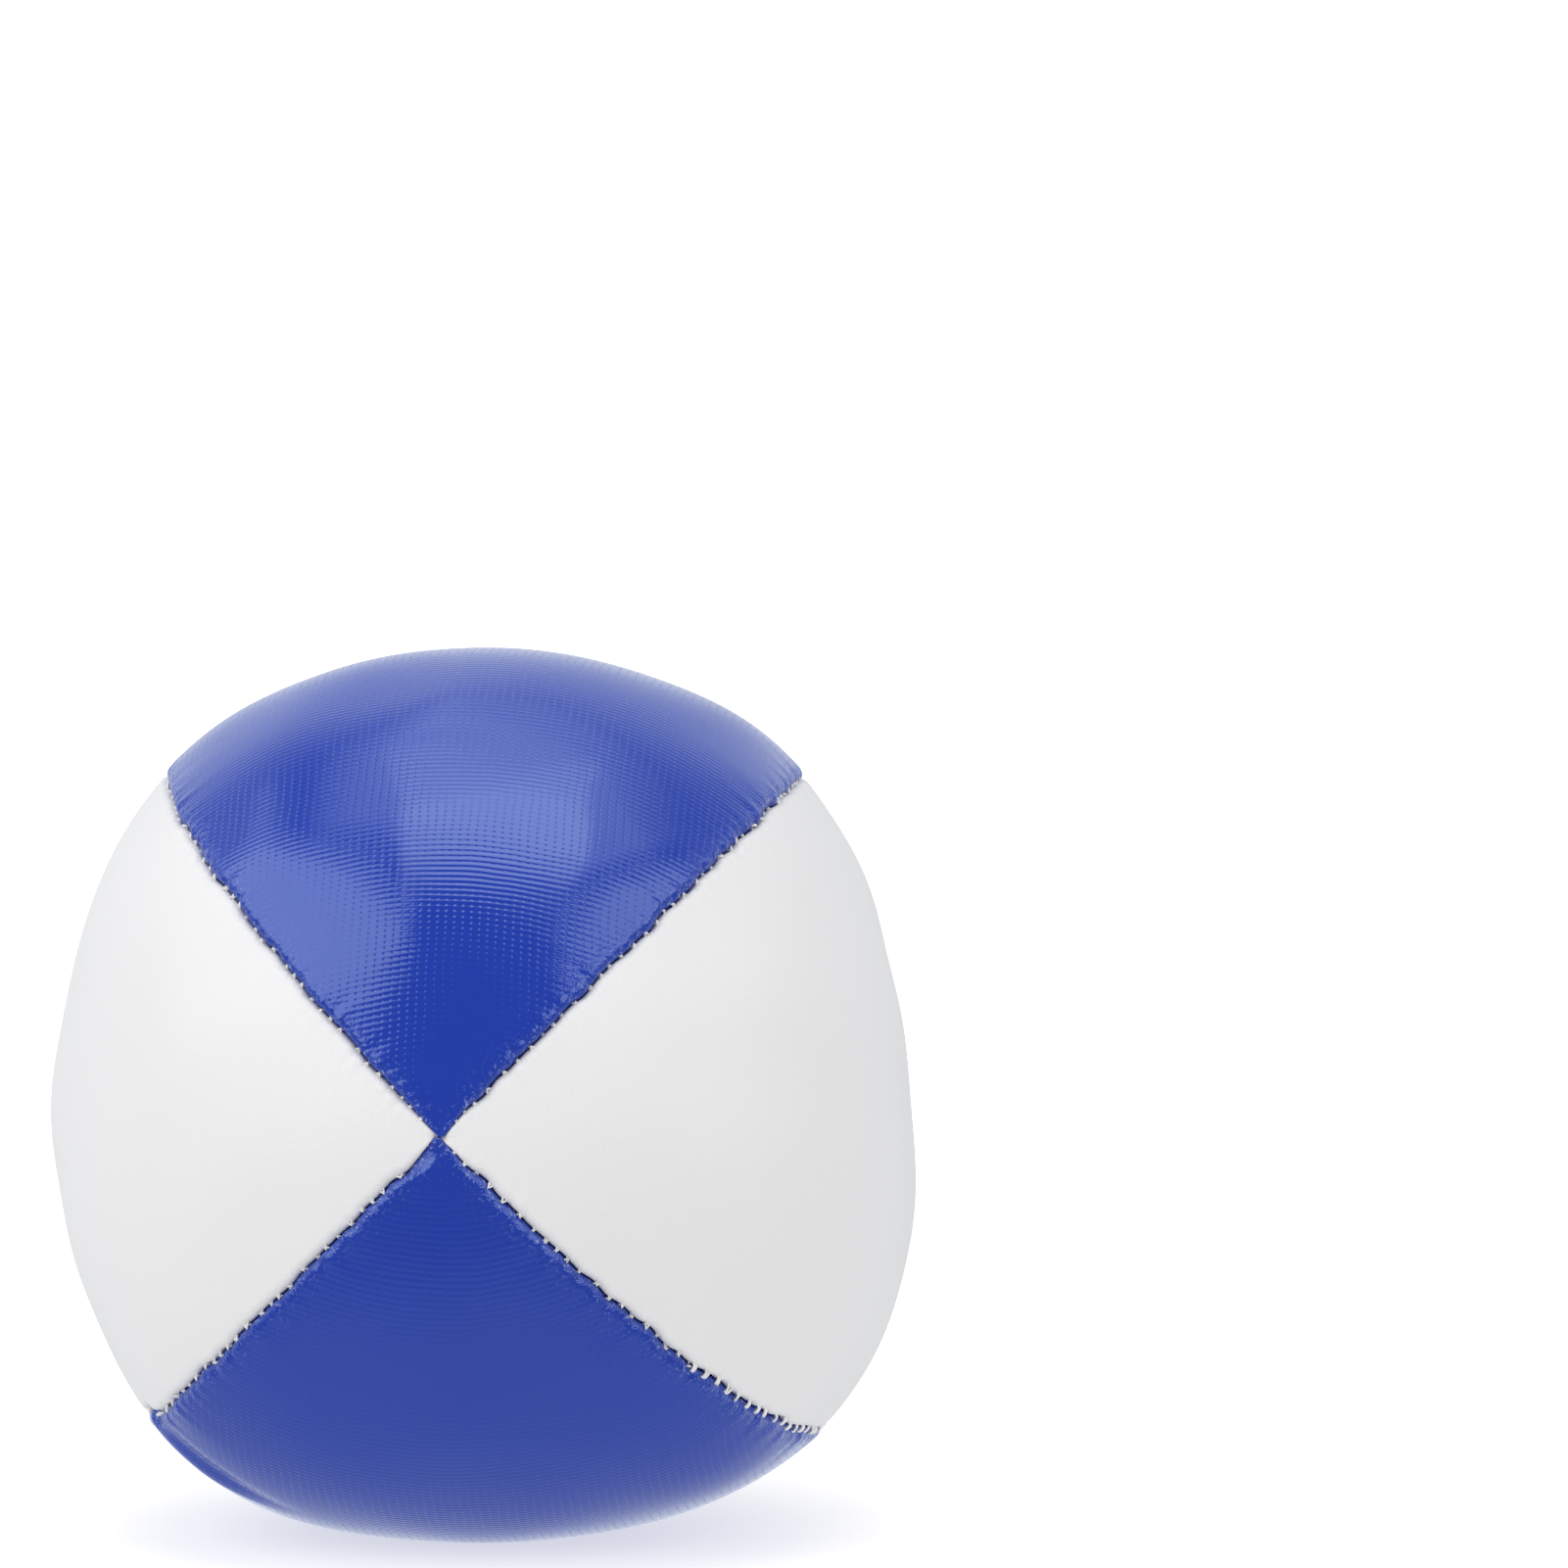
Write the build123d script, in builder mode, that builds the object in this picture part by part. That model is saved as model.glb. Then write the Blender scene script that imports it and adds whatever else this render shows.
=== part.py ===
from build123d import *
import os
from math import acos, cos, degrees, radians, sin, sqrt

# A four-panel juggling ball. Four boat-shaped panels of leathercloth, two blue and two
# white, are sewn edge to edge into a bag, which is filled with millet and closed by hand.
# The panel tips meet at two poles on a line parallel to Y. The four seams lie in two
# planes through that line, 45 degrees either side of upright. The ball rests on its
# lower blue panel. Lengths are in millimetres, +Z is up and the floor is Z = 0.

# Outer shape, measured from the ball's centre
centre_height = 30.9        # the centre's height above the floor
pole_reach = 30.8           # to each pole
crown_top = 30.9            # to the middle of each panel
crown_side = 30.1
crown_bottom = 31.5         # before the floor flattens it
seam_reach_upper = 31.3     # to the middle of each seam
seam_reach_lower = 33.2

# Leathercloth
cloth = 0.85                # thickness
allowance = 4.5             # width of the seam allowance turned in behind each edge

# Machine stitching: a needle thread and a bobbin thread locked inside the cloth
thread_size = 0.3           # diameter
hole_clearance = 0.08       # around a thread where it goes through the cloth
strand_size = 0.24          # diameter of a strand pulled tight through its hole
kink_size = 0.38            # diameter of the ring seam's thread where it bends at a pole
kink_length = 0.6
lay_gap = 0.02              # between a thread and the cloth it lies on
stitch_depth = 1.9          # of the stitch line below the ball's surface
stitch_length = 1.24
pole_margin = 1.9           # from the pole line to the last stitch of a half seam

# Filling gap in the lower right seam, closed by hand with a ladder stitch. It begins
# and ends at these angles about the ball's centre, the front pole being at -90 degrees.
gap_front = -42
gap_back = 10
closing_size = 0.5          # diameter of the doubled hand-sewing thread
closing_length = 1.7        # of one stitch
crossing_size = 0.44        # diameter of the thread pulled tight from edge to edge
bend_size = 0.56            # diameter of the bulge where the thread turns a corner
knot_size = 1.0             # diameter

# Millet
fill_gap = 0.1              # between the fill and the cloth
allowance_room = 1.6        # from a seam plane to the fill, for the allowances and threads
core_radius = 24.9          # the fill behind the inner edges of the allowances
fill_lobe_depth = 12.0      # depth of each lobe of fill, well into the core

outside_margin = 8.0        # degrees of panel arc made beyond each seam, then cut away
pole_overrun = 10.0         # degrees of panel made beyond each pole, then cut away
cut_overrun = 1.0           # how far a hole or hollow is cut past what it goes through
profile_points = 9          # of the spline that draws a panel's profile
centre = Vector(0, 0, centre_height)
pole_line = Vector(0, 1, 0)

# Each panel: the turn of its middle about Y away from upright, the reach of its crown,
# and the reach of its two seams, the one on its local -X side first.
panels = {
    "panel_blue_top": (0, crown_top, seam_reach_upper, seam_reach_upper),
    "panel_white_right": (90, crown_side, seam_reach_upper, seam_reach_lower),
    "panel_blue_bottom": (180, crown_bottom, seam_reach_lower, seam_reach_lower),
    "panel_white_left": (270, crown_side, seam_reach_lower, seam_reach_upper),
}

# Each seam: its direction from the centre, in degrees up from +X, and its reach.
seams = {
    "upper_right": (45, seam_reach_upper),
    "upper_left": (135, seam_reach_upper),
    "lower_left": (225, seam_reach_lower),
    "lower_right": (315, seam_reach_lower),
}


def lune(panel, depth_from, depth_to, inset, floor):
    """The layer of one panel between two depths, kept inset from both seam planes."""
    turn, crown, reach_left, reach_right = panel
    outward = Vector(sin(radians(turn)), 0, cos(radians(turn)))
    across = Vector(cos(radians(turn)), 0, -sin(radians(turn)))
    left = reach_left / sqrt(2)
    right = reach_right / sqrt(2)
    outline = ThreePointArc((-left, left), (0, crown), (right, right))
    middle = outline.arc_center
    start = degrees(acos((right - middle.X) / outline.radius)) - outside_margin
    end = degrees(acos((-left - middle.X) / outline.radius)) + outside_margin
    # The axis of the barrel is moved off the centre so that the barrel meets both poles.
    axis_shift = (crown**2 - pole_reach**2) / (2 * crown)
    axis_point = centre + outward * axis_shift
    arc_centre = (middle.X, middle.Y - axis_shift)
    overrun = radians(pole_overrun)
    first_ray = pole_line * -cos(overrun) + outward * -sin(overrun)
    shares = [step / (profile_points - 1) for step in range(profile_points)]
    outer_arc = CenterArc(arc_centre, outline.radius - depth_from, start, end - start)
    inner_arc = CenterArc(arc_centre, outline.radius - depth_to, start, end - start)
    with BuildPart() as layer:
        with BuildSketch(Plane(axis_point, x_dir=across, z_dir=across.cross(first_ray))):
            with BuildLine():
                # The arcs' centre lies beyond the barrel's axis, where a revolved arc would
                # make a self-crossing torus, so each is drawn as a spline through its points.
                outer = Spline(*outer_arc.positions(shares))
                inner = Spline(*inner_arc.positions(shares))
                Line(outer @ 0, inner @ 0)
                Line(outer @ 1, inner @ 1)
            make_face()
        revolve(axis=Axis(axis_point, across * -1), revolution_arc=180 + 2 * pole_overrun)
        for side in (-1, 1):
            inward = (outward + across * side).normalized()
            split(bisect_by=Plane(centre + inward * inset, z_dir=inward), keep=Keep.TOP)
        if outward.Z < -0.5:
            split(bisect_by=Plane((0, 0, floor), z_dir=(0, 0, 1)), keep=Keep.TOP)
    return layer.part


def seam_frame(seam):
    """Directions along and across a seam's plane, and its stitch line's arc."""
    angle, reach = seam
    out = Vector(cos(radians(angle)), 0, sin(radians(angle)))
    across = Vector(-sin(radians(angle)), 0, cos(radians(angle)))
    middle_reach = reach - stitch_depth
    tip_reach = pole_reach - stitch_depth
    shift = (middle_reach**2 - tip_reach**2) / (2 * middle_reach)
    return out, across, centre + out * shift, middle_reach - shift, shift


def end_angle(seam, reach):
    """Angle of the stitch line's arc at which it comes within reach of the pole line."""
    out, across, arc_centre, radius, shift = seam_frame(seam)
    return degrees(acos((reach - shift) / radius))


def stitch_angles(seam, low, high, length=stitch_length):
    """Evenly spaced needle holes along a stitch line, from one angle to another."""
    radius = seam_frame(seam)[3]
    count = round(radians(high - low) * radius / length)
    return [low + (high - low) * step / count for step in range(count + 1)]


def hole_planes(seam, angles, offset=0.0):
    """A plane square to the seam plane at each needle hole."""
    out, across, arc_centre, radius, shift = seam_frame(seam)
    radial = [out * cos(radians(angle)) + pole_line * sin(radians(angle)) for angle in angles]
    return [Plane(arc_centre + ray * radius + across * offset, z_dir=across) for ray in radial]


def laid_thread(seam, low, high, offset, size):
    """A thread that follows the stitch line beside the seam plane."""
    out, across, arc_centre, radius, shift = seam_frame(seam)
    start = out * cos(radians(low)) + pole_line * sin(radians(low))
    with BuildPart() as run:
        with BuildSketch(Plane(arc_centre, x_dir=start, z_dir=start.cross(across))):
            with Locations((radius, offset)):
                Circle(size / 2)
        revolve(axis=Axis(arc_centre, across), revolution_arc=high - low)
    return run.part


def stitches(seam, angles, side):
    """The strands that dip from one side through the cloth to the seam plane."""
    reach = cloth + lay_gap + thread_size / 2
    planes = hole_planes(seam, angles, 0 if side > 0 else -reach)
    with BuildPart() as strands:
        with Locations(*planes):
            Cylinder(strand_size / 2, reach, align=(Align.CENTER, Align.CENTER, Align.MIN))
    return strands.part


def needle_holes(seam, angles, size):
    """Holes through both allowances of a seam."""
    with BuildPart() as holes:
        with Locations(*hole_planes(seam, angles)):
            Cylinder(size / 2 + hole_clearance, 2 * cloth + cut_overrun)
    return holes.part


# Stitch spacing. The two half seams stop short of the poles. The ring seam runs from the
# filling gap through one pole, up the upper left seam, through the other pole and back.
half_angles = {}
for name in ("upper_right", "lower_left"):
    limit = end_angle(seams[name], pole_margin)
    half_angles[name] = stitch_angles(seams[name], -limit, limit)
ring_upper = seams["upper_left"]
ring_lower = seams["lower_right"]
upper_limit = end_angle(ring_upper, 0)
lower_limit = end_angle(ring_lower, 0)
upper_holes = stitch_angles(ring_upper, -upper_limit, upper_limit)[1:-1]
back_holes = stitch_angles(ring_lower, gap_back, lower_limit)[:-1]
front_holes = stitch_angles(ring_lower, -lower_limit, gap_front)[1:]
ladder_holes = stitch_angles(ring_lower, gap_front, gap_back, closing_length)[1:-1]

machine_offset = cloth + lay_gap + thread_size / 2
hand_offset = cloth + lay_gap + closing_size / 2
knot_offset = cloth + lay_gap + knot_size / 2

needle_hole_tools = []
for name, angles in half_angles.items():
    needle_hole_tools.append(needle_holes(seams[name], angles, thread_size))
needle_hole_tools.append(needle_holes(ring_upper, upper_holes, thread_size))
needle_hole_tools.append(needle_holes(ring_lower, front_holes + back_holes, thread_size))
needle_hole_tools.append(needle_holes(ring_lower, ladder_holes, closing_size))

# Channels where the ring seam's two threads cross the half seams' allowances at a pole
pole_channels = []
channel_size = thread_size + 2 * hole_clearance
channel_sweep = 6           # degrees
for side in (-1, 1):
    for seam, limit, seam_side in ((ring_upper, upper_limit, side), (ring_lower, lower_limit, -side)):
        offset = machine_offset * seam_side
        pole_channels.append(laid_thread(seam, limit - channel_sweep, limit, offset, channel_size))
        pole_channels.append(laid_thread(seam, -limit, channel_sweep - limit, offset, channel_size))

os.makedirs("parts", exist_ok=True)

# Panels: a shell of cloth with the allowances turned in along both seams
for name, panel in panels.items():
    whole = lune(panel, 0, cloth + allowance, 0, 0)
    hollow = lune(panel, cloth, cloth + allowance + cut_overrun, cloth, cloth)
    with BuildPart() as cover:
        add(whole)
        add(hollow, mode=Mode.SUBTRACT)
        add(needle_hole_tools, mode=Mode.SUBTRACT)
        add(pole_channels, mode=Mode.SUBTRACT)
    cover.part.label = name
    export_step(cover.part, f"parts/{name}.step")

# Half-seam threads
thread_sides = {"needle": 1, "bobbin": -1}
for seam_name, angles in half_angles.items():
    for kind, side in thread_sides.items():
        seam = seams[seam_name]
        run = laid_thread(seam, angles[0], angles[-1], machine_offset * side, thread_size)
        strands = stitches(seam, angles, side)
        with BuildPart() as thread:
            add(run)
            add(strands)
        thread.part.label = f"thread_{kind}_{seam_name}"
        export_step(thread.part, f"parts/{thread.part.label}.step")

# Ring-seam threads
for kind, side in thread_sides.items():
    runs = [
        laid_thread(ring_upper, -upper_limit, upper_limit, machine_offset * side, thread_size),
        laid_thread(ring_lower, gap_back, lower_limit, -machine_offset * side, thread_size),
        laid_thread(ring_lower, -lower_limit, gap_front, -machine_offset * side, thread_size),
    ]
    strands = [
        stitches(ring_upper, upper_holes, side),
        stitches(ring_lower, front_holes + back_holes, -side),
    ]
    crossings = hole_planes(ring_upper, (-upper_limit, upper_limit), machine_offset * side)
    crossing_planes = [Plane(plane.origin, z_dir=seam_frame(ring_upper)[0]) for plane in crossings]
    with BuildPart() as thread:
        add(runs)
        add(strands)
        with Locations(*crossing_planes):
            Cylinder(kink_size / 2, kink_length)
    thread.part.label = f"thread_{kind}_ring"
    export_step(thread.part, f"parts/{thread.part.label}.step")

# Closing thread: runs on alternate sides of the seam, a crossing at each hole, and a knot
ladder_runs = []
for step in range(len(ladder_holes) - 1):
    side = 1 if step % 2 == 0 else -1
    low, high = ladder_holes[step], ladder_holes[step + 1]
    ladder_runs.append(laid_thread(ring_lower, low, high, hand_offset * side, closing_size))
knot_plane = hole_planes(ring_lower, ladder_holes[:1], -knot_offset)[0]
with BuildPart() as thread_closing:
    add(ladder_runs)
    with Locations(*hole_planes(ring_lower, ladder_holes)):
        Cylinder(crossing_size / 2, 2 * hand_offset)
    for side in (-1, 1):
        with Locations(*hole_planes(ring_lower, ladder_holes, hand_offset * side)):
            Sphere(bend_size / 2)
    with Locations(knot_plane):
        Sphere(knot_size / 2)
thread_closing.part.label = "thread_closing"
export_step(thread_closing.part, "parts/thread_closing.step")

# Millet: a core with a lobe behind each panel, clear of the allowances
lobes = [
    lune(panel, cloth + fill_gap, fill_lobe_depth, allowance_room, cloth + fill_gap)
    for panel in panels.values()
]
with BuildPart() as millet_fill:
    with Locations(centre):
        Sphere(core_radius)
    add(lobes)
    with Locations(knot_plane):
        Sphere(knot_size / 2 + fill_gap, mode=Mode.SUBTRACT)
millet_fill.part.label = "millet_fill"
export_step(millet_fill.part, "parts/millet_fill.step")
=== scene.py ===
import math
import bpy
import numpy as np
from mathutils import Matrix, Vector


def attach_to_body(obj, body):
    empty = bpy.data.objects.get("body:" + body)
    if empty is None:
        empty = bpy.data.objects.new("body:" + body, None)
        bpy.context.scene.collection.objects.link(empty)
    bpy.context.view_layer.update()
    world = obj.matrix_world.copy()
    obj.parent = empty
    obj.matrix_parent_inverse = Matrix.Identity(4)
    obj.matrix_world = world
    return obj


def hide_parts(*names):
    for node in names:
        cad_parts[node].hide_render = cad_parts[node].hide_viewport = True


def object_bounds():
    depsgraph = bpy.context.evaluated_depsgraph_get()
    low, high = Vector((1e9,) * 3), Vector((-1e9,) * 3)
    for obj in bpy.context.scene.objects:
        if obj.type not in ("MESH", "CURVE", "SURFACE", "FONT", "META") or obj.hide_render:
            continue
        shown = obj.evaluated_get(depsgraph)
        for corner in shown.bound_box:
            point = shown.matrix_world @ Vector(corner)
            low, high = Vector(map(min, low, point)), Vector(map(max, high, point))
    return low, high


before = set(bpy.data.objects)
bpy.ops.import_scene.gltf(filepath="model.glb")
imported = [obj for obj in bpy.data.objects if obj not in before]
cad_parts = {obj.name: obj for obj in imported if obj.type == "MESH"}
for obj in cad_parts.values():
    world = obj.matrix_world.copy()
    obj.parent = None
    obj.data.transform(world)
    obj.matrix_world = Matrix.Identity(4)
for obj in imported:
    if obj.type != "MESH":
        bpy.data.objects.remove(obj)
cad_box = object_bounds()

# A four-panel juggling ball. Lengths below are in millimetres and become metres where a
# mesh is made. Directions are unit vectors from the ball's centre: the front pole is at
# -Y, "polar" is the angle from it, and "azimuth" turns about Y from +X towards +Z.

MM = 0.001
BODY = "root"
CENTRE = np.array(cad_box).mean(axis=0) / MM

# The ball's shape: its half sizes along X, Y and Z, and how it departs from an egg
HALF_WIDTH = 30.0
HALF_DEPTH = 30.8
HALF_HEIGHT = 31.2
SQUARENESS = -0.82          # negative pushes the four seams out, by twice as much
LEAN_X = 0.3                # the left side stands out by this, and the right side in
LEAN_Z = 0.3                # the bottom stands out by this, and the top in
SAG = 1.0                   # how far the filling pushes the lower half out
SAG_SCALE = 2.6             # makes the sag's curve, z (1 - z^2), about 1 at its highest
FOOT_BLEND = 0.35           # rounding where the foot leaves the floor
LUMP = 0.09                 # unevenness of the filling behind the cloth
# Places where the bag is drawn in, or stands out where the depth is negative: above the
# tuck in the lower left seam, and at the upper right corner. Each has its direction, its
# depth, and its spread for a ball of radius 1.
HOLLOWS = (
    ((-0.875, -0.12, -0.46), 1.6, 0.23),
    ((0.66, 0.09, 0.75), -0.35, 0.22),
)

# Cloth and seams
CLOTH = 0.85
ALLOWANCE = 4.5
FOLD_RADIUS = 0.75          # where a panel turns in at a seam
SEAM_GAP = 0.03             # from the seam plane to the cloth of each panel
SEAM_WANDER = 0.06          # how far a seam strays from its plane
BLUE_PROUD = 0.22           # the blue edges stand a little proud of the white ones
PINCH = {"blue": 0.17, "white": 0.08}       # drawn in at each stitch
PUCKER = {"blue": 0.045, "white": 0.030}    # height of the wrinkles beside a seam
LONG_SHARE = 0.4            # height of the wrinkles that reach further, as a share of that
# How far from a seam each detail falls to about a third of its height
PINCH_REACH = 0.45
FINE_REACH = 0.8
LONG_REACH = 2.2
PROUD_REACH = 3.5

# The tips of the panels, at the poles
TIGHT_TIP = 2.6             # half a panel's width at which its seam details start to shrink
TIP_SHIFT = 0.30            # how far the blue tips reach over the white ones
TIP_SHIFT_REACH = 1.2       # from the pole
TIP_SINK = 0.35             # how far the white tips sink
TIP_SINK_REACH = 0.5
LEAST_RING = 0.3            # keeps the angle of a thread's offset finite there

# Threads. Between stitches a machine thread lies beside its seam and below the surface, and
# at each stitch it bends in and up.
STITCH = 1.24               # length of one machine stitch
STITCH_UNEVEN = 0.16        # how far stitches vary in length, as a share of one
THREAD_RADIUS = 0.08
THREAD_SIDES = 8
MACHINE_SIDE = 1.02
MACHINE_DEPTH = 1.3
MACHINE_REACH = 1.1         # how far in it bends, which is a little past the seam
MACHINE_STRAY = 0.10        # how far a bend strays to either side
MACHINE_BEND = 2.2          # greater for a narrower bend
BEND_POINTS = 10            # points of a thread's path in one stitch
# The least and most that the bends lie below the surface
STITCH_DEPTHS = {"upper_right": (0.20, 0.62), "upper_left": (0.14, 0.56),
                 "lower_left": (0.06, 0.46), "lower_right": (0.08, 0.50)}
LADDER = 1.35               # length of one hand stitch
LADDER_SIDE = 0.85          # where its thread runs, inside a fold
LADDER_DEPTH = 1.15
STRAND_SHIFT = 0.2          # between the two strands of the hand thread
HAND_THREAD_RADIUS = 0.09

# A tuck in the lower left seam. The seam steps aside there and comes back further on, and
# a crease with a trough beside it runs down into the lower panel.
TUCK_ALONG = HALF_DEPTH * math.radians(70)
TUCK_DEPTH = 0.35
TUCK_LENGTH = 0.9
TUCK_REACH = 1.0
TUCK_STEP = 0.6
TUCK_STEP_RUN = (-0.3, 0.5, 8, 24)      # where it steps out and where back, from the tuck
CREASE_HEIGHT = 0.34
CREASE_WIDTH = 0.9
CREASE_SLANT = 0.12
CREASE_END = (5, 12)        # where it fades out, from the seam
TROUGH_SHARE = 0.6
TROUGH_SHIFT = 2.0          # in widths of the crease

# A flattened fold on the lower blue panel, beside the front pole
FACET_WIDTH = 1.0
FACET_RUN = (-1.5, 1.2, 2.0, 4.6)       # where it widens and where it ends, from the pole
FACET_TIP = 0.75            # its most there, as a share of the distance from the pole
FACET_SLOPE = 0.5
FACET_SHARPNESS = 0.6       # how much of the fold's radius it takes away

# Weave showing through the coating
COLUMN_PITCH = 0.60
ROW_PITCH = 0.43
ROW_BEND = 0.6              # 0 for rows that circle the poles, 1 for flat rows

# Panel meshes
STATIONS = 520              # from pole to pole
HALF_COLUMNS = 46           # from the middle of a panel to a seam's fold
CROWDING = 1.7              # 1 for even columns, more to crowd them towards the seam
FOLD_STEPS = 7
INNER_COLUMNS = 18
TIP_ANGLE = math.radians(0.12)

# Millet
GRAINS = 3300
GRAIN = (1.12, 0.98, 0.86)  # a grain's half sizes
GRAIN_SIZES = (0.92, 1.12)  # the least and most that one is scaled by
GRAIN_DEPTH = 2.1           # from the ball's surface to the middles of the outermost grains
GRAIN_SCATTER = 0.5
SEAM_ROOM = 3.6             # how much deeper they lie behind a seam, clear of its allowances
SEAM_ROOM_REACH = 1.8
CORE_DEPTH = 6.0            # of the plain core behind the grains
CORE_ROWS, CORE_COLUMNS = 60, 96

SEAMS = {"upper_right": 45, "upper_left": 135, "lower_left": 225, "lower_right": 315}
PANELS = {
    "panel_blue_top": ("blue", 90, "upper_right", "upper_left"),
    "panel_white_right": ("white", 360, "lower_right", "upper_right"),
    "panel_blue_bottom": ("blue", 270, "lower_left", "lower_right"),
    "panel_white_left": ("white", 180, "upper_left", "lower_left"),
}
GAP_FRONT = math.radians(48)    # the hand-closed gap in the lower right seam, as polar angles
GAP_BACK = math.radians(100)


# ---- Smooth seeded noise -------------------------------------------------------------

def waves(seed, count, shortest, longest, dimensions):
    """Random directions, lengths and phases of a sum of sine waves."""
    random = np.random.default_rng(seed)
    lengths = np.exp(random.uniform(math.log(shortest), math.log(longest), count))
    directions = random.normal(size=(count, dimensions))
    directions /= np.linalg.norm(directions, axis=1)[:, None]
    return directions * (2 * np.pi / lengths)[:, None], random.uniform(0, 2 * np.pi, count)


def noise(where, wave_set):
    """Noise of about unit size, at points or at distances along a line."""
    vectors, phases = wave_set
    points = np.asarray(where, float)
    if vectors.shape[1] == 1:
        points = points[..., None]
    total = np.zeros(points.shape[:-1])
    for vector, phase in zip(vectors, phases):
        total += np.sin(points @ vector + phase)
    return total * math.sqrt(2 / len(phases))


def smooth_step(value, low, high):
    share = np.clip((value - low) / (high - low), 0, 1)
    return share * share * (3 - 2 * share)


def rise_and_fall(value, run):
    """Goes smoothly from 0 to 1 and back between the four places of a run."""
    return smooth_step(value, *run[:2]) * (1 - smooth_step(value, *run[2:]))


def waves_along(names, seed, count, shortest, longest):
    """Waves along a line for each name, with seeds that count up from the first."""
    return {name: waves(seed + i, count, shortest, longest, 1) for i, name in enumerate(names)}


LUMPS = waves(seed=3, count=24, shortest=9, longest=26, dimensions=3)
WANDERS = waves_along(SEAMS, seed=20, count=12, shortest=2.2, longest=14)
JITTERS = waves_along(SEAMS, seed=30, count=6, shortest=4, longest=12)
FINE_WRINKLES = waves_along(PANELS, seed=40, count=14, shortest=0.9, longest=2.6)
LONG_WRINKLES = waves_along(PANELS, seed=50, count=10, shortest=2.2, longest=6.0)


# ---- The ball's surface --------------------------------------------------------------

def direction(polar, azimuth):
    polar, azimuth = np.broadcast_arrays(polar, azimuth)
    ring = np.sin(polar)
    return np.stack([ring * np.cos(azimuth), -np.cos(polar), ring * np.sin(azimuth)], axis=-1)


def ball_radius(way):
    """Distance from the centre to the ball's smooth outer surface."""
    x, y, z = way[..., 0], way[..., 1], way[..., 2]
    square = x**4 - 6 * x**2 * z**2 + z**4
    radius = (HALF_WIDTH - SQUARENESS) * x**2 + HALF_DEPTH * y**2
    radius = radius + (HALF_HEIGHT - SQUARENESS) * z**2 + SQUARENESS * square
    radius = radius - LEAN_X * x - LEAN_Z * z - SAG * SAG_SCALE * z * (1 - z**2)
    for middle, depth, spread in HOLLOWS:
        away = np.linalg.norm(way - np.array(middle), axis=-1)
        radius = radius - depth * np.exp(-0.5 * (away / spread) ** 2)
    return radius + LUMP * noise(way * HALF_DEPTH, LUMPS)


def rest_on_floor(points):
    """Flattens what would lie below the floor, with a rounded edge to the foot."""
    height = points[..., 2]
    blended = (height + FOOT_BLEND) ** 2 / (4 * FOOT_BLEND)
    settled = np.where(height > FOOT_BLEND, height, blended)
    points[..., 2] = np.where(height < -FOOT_BLEND, 0, settled)
    return points


def along_seam(polar):
    return HALF_DEPTH * polar


def stitch_phase(seam, along):
    """Goes up by one at each stitch of a seam."""
    return along / STITCH + STITCH_UNEVEN * noise(along, JITTERS[seam])


def seam_scale(ring):
    """Seam details shrink towards the panel tips, where there is no room for them."""
    return np.minimum(1, ring * math.sqrt(0.5) / TIGHT_TIP)


def seam_wander(seam, along, ring):
    stray = SEAM_WANDER * seam_scale(ring) * noise(along, WANDERS[seam])
    if seam in ("upper_right", "lower_left"):
        stray = stray - TIP_SHIFT * np.exp(-ring / TIP_SHIFT_REACH)
    if seam == "lower_left":
        stray = stray - TUCK_STEP * rise_and_fall(along - TUCK_ALONG, TUCK_STEP_RUN)
    return stray


def facet_width(along):
    """Width of the flattened fold on the lower blue panel, along the lower left seam."""
    return np.minimum(FACET_WIDTH * rise_and_fall(along, FACET_RUN), FACET_TIP * along)


# ---- Meshes --------------------------------------------------------------------------

def make_object(name, points, face_groups, material):
    """An object from points in millimetres and arrays of faces, one array per corner count."""
    mesh = bpy.data.meshes.new(name)
    corners = np.concatenate([faces.ravel() for faces in face_groups]).astype(np.int32)
    counts = np.concatenate([np.full(len(faces), faces.shape[1]) for faces in face_groups])
    starts = np.concatenate([[0], np.cumsum(counts)[:-1]]).astype(np.int32)
    mesh.vertices.add(len(points))
    mesh.vertices.foreach_set("co", (points * MM).astype(np.float32).ravel())
    mesh.loops.add(len(corners))
    mesh.loops.foreach_set("vertex_index", corners)
    mesh.polygons.add(len(counts))
    mesh.polygons.foreach_set("loop_start", starts)
    mesh.polygons.foreach_set("use_smooth", np.ones(len(counts), bool))
    mesh.update(calc_edges=True)
    mesh.validate()
    made = bpy.data.objects.new(name, mesh)
    bpy.context.scene.collection.objects.link(made)
    made.data.materials.append(material)
    return made


def add_corner_map(made, name, values):
    """A UV map from a pair of values for each point."""
    mesh = made.data
    corners = np.zeros(len(mesh.loops), np.int32)
    mesh.loops.foreach_get("vertex_index", corners)
    layer = mesh.uv_layers.new(name=name)
    layer.data.foreach_set("uv", values[corners].astype(np.float32).ravel())


def add_point_value(made, name, values):
    layer = made.data.attributes.new(name, "FLOAT", "POINT")
    layer.data.foreach_set("value", values.astype(np.float32).ravel())


def ring_faces(rows, columns):
    """Quads of a tube whose rings have the given number of columns, and its two end caps."""
    row = np.arange(rows - 1)[:, None] * columns
    column = np.arange(columns)[None, :]
    after = (column + 1) % columns
    quads = [row + column, row + columns + column, row + columns + after, row + after]
    quads = np.stack(quads, axis=-1).reshape(-1, 4)
    first = np.arange(columns)[None, :]
    last = (rows - 1) * columns + np.arange(columns)[None, ::-1]
    return [quads, first, last]


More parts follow.
